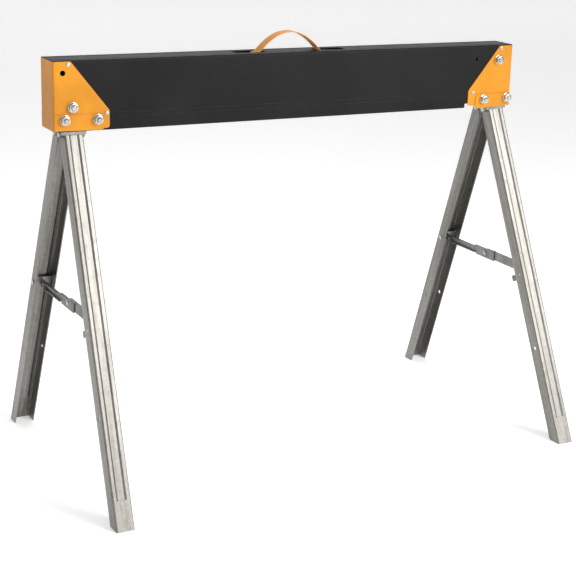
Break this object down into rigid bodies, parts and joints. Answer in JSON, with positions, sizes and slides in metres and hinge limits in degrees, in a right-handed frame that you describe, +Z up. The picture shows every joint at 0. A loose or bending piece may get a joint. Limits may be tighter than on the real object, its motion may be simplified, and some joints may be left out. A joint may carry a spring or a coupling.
{
  "type": "folding sawhorse",
  "caption": "Folding steel sawhorse: open-bottomed beam with yellow end brackets, splayed channel legs on swinging hangers, folding braces and a webbing carry strap.",
  "frame": {"origin": "on the floor, midway along and across the overall box of the opened sawhorse", "axes": "+X along the beam towards the end with the high pivot bolts, +Y towards the rear legs, +Z up"},
  "size_m": [1.0732, 0.6283, 0.8691],
  "materials": {
    "yellow_paint": "satin powder coat",
    "black_paint": "satin powder coat",
    "galvanised_steel": "bright galvanised",
    "zinc_steel": "dull zinc plate",
    "fastener_steel": "bright zinc plate",
    "webbing": "woven"
  },
  "bodies": {
    "beam": {"beam_shell": "black_paint", "end_bracket_left": "yellow_paint", "end_bracket_right": "yellow_paint", "saddle_plate_left_front": "yellow_paint", "saddle_plate_left_rear": "yellow_paint", "saddle_plate_right_front": "yellow_paint", "saddle_plate_right_rear": "yellow_paint", "bracket_rivets": "fastener_steel", "pivot_bolts": "fastener_steel", "pivot_nuts": "fastener_steel", "pivot_washers": "fastener_steel", "pivot_spacers": "zinc_steel", "stop_bolts": "fastener_steel", "stop_nuts": "fastener_steel", "stop_washers": "fastener_steel", "saddle_bolts": "fastener_steel", "saddle_nuts": "fastener_steel", "saddle_washers": "fastener_steel", "carry_strap": "webbing", "strap_bars": "zinc_steel"},
    "left_sleeve": {"pivot_sleeve_left": "zinc_steel"},
    "left_hanger": {"leg_hanger_left": "zinc_steel", "hinge_pins_left": "fastener_steel", "hinge_washers_left": "zinc_steel"},
    "left_front_leg": {"leg_left_front": "galvanised_steel", "brace_clip_left_front": "zinc_steel", "clip_rivets_left_front": "fastener_steel", "brace_pin_left_front": "fastener_steel"},
    "left_rear_leg": {"leg_left_rear": "galvanised_steel", "brace_clip_left_rear": "zinc_steel", "clip_rivets_left_rear": "fastener_steel", "brace_pin_left_rear": "fastener_steel"},
    "left_front_link": {"brace_link_left_front": "zinc_steel", "lap_cap_left": "fastener_steel"},
    "left_rear_link": {"brace_link_left_rear": "zinc_steel", "lap_rivet_left": "fastener_steel"},
    "right_sleeve": {"pivot_sleeve_right": "zinc_steel"},
    "right_hanger": {"leg_hanger_right": "zinc_steel", "hinge_pins_right": "fastener_steel", "hinge_washers_right": "zinc_steel"},
    "right_front_leg": {"leg_right_front": "galvanised_steel", "brace_clip_right_front": "zinc_steel", "clip_rivets_right_front": "fastener_steel", "brace_pin_right_front": "fastener_steel"},
    "right_rear_leg": {"leg_right_rear": "galvanised_steel", "brace_clip_right_rear": "zinc_steel", "clip_rivets_right_rear": "fastener_steel", "brace_pin_right_rear": "fastener_steel"},
    "right_front_link": {"brace_link_right_front": "zinc_steel", "lap_cap_right": "fastener_steel"},
    "right_rear_link": {"brace_link_right_rear": "zinc_steel", "lap_rivet_right": "fastener_steel"}
  },
  "joints": [
    {"name": "left_legs_swing", "type": "hinge", "parent": "beam", "child": "left_sleeve", "pos_m": [-0.49964, 0, 0.743], "axis": [0, -1, 0], "range_deg": [0, 25]},
    {"name": "left_legs_stow", "type": "hinge", "parent": "left_sleeve", "child": "left_hanger", "pos_m": [-0.49964, 0, 0.743], "axis": [0, -1, 0], "range_deg": [0, 66]},
    {"name": "left_legs_close", "type": "hinge", "parent": "left_hanger", "child": "left_front_leg", "pos_m": [-0.49556, -0.013, 0.68998], "axis": [0.9998, 0, -0.0175], "range_deg": [0, 22.4]},
    {"name": "left_rear_leg_close", "type": "hinge", "parent": "left_hanger", "child": "left_rear_leg", "pos_m": [-0.49556, 0.013, 0.68998], "axis": [0.9998, 0, -0.0175], "range_deg": [-22.4, 0]},
    {"name": "left_front_link_fold", "type": "hinge", "parent": "left_front_leg", "child": "left_front_link", "pos_m": [-0.50146, -0.14578, 0.35213], "axis": [0.9998, 0, -0.0175], "range_deg": [0, 64.85]},
    {"name": "left_rear_link_fold", "type": "hinge", "parent": "left_rear_leg", "child": "left_rear_link", "pos_m": [-0.50146, 0.14578, 0.35213], "axis": [0.9998, 0, -0.0175], "range_deg": [-64.85, 0]},
    {"name": "right_legs_swing", "type": "hinge", "parent": "beam", "child": "right_sleeve", "pos_m": [0.46736, 0, 0.7985], "axis": [0, 1, 0], "range_deg": [0, 32.3]},
    {"name": "right_legs_stow", "type": "hinge", "parent": "right_sleeve", "child": "right_hanger", "pos_m": [0.46736, 0, 0.7985], "axis": [0, 1, 0], "range_deg": [0, 60.8]},
    {"name": "right_legs_close", "type": "hinge", "parent": "right_hanger", "child": "right_front_leg", "pos_m": [0.47337, -0.013, 0.69037], "axis": [0.9981, 0, 0.061], "range_deg": [0, 22.4]},
    {"name": "right_rear_leg_close", "type": "hinge", "parent": "right_hanger", "child": "right_rear_leg", "pos_m": [0.47337, 0.013, 0.69037], "axis": [0.9981, 0, 0.061], "range_deg": [-22.4, 0]},
    {"name": "right_front_link_fold", "type": "hinge", "parent": "right_front_leg", "child": "right_front_link", "pos_m": [0.494, -0.14578, 0.3531], "axis": [0.9981, 0, 0.061], "range_deg": [0, 64.85]},
    {"name": "right_rear_link_fold", "type": "hinge", "parent": "right_rear_leg", "child": "right_rear_link", "pos_m": [0.494, 0.14578, 0.3531], "axis": [0.9981, 0, 0.061], "range_deg": [-64.85, 0]}
  ],
  "couplings": [
    {"joint": "left_legs_stow", "follows": "left_legs_close", "ratio": 2.9464},
    {"joint": "left_rear_leg_close", "follows": "left_legs_close", "ratio": -1},
    {"joint": "left_front_link_fold", "follows": "left_legs_close", "ratio": 2.895},
    {"joint": "left_rear_link_fold", "follows": "left_legs_close", "ratio": -2.895},
    {"joint": "right_legs_stow", "follows": "right_legs_close", "ratio": 2.7143},
    {"joint": "right_rear_leg_close", "follows": "right_legs_close", "ratio": -1},
    {"joint": "right_front_link_fold", "follows": "right_legs_close", "ratio": 2.895},
    {"joint": "right_rear_link_fold", "follows": "right_legs_close", "ratio": -2.895},
    {"joint": "right_legs_swing", "follows": "left_legs_close", "ratio": 1.442}
  ]
}
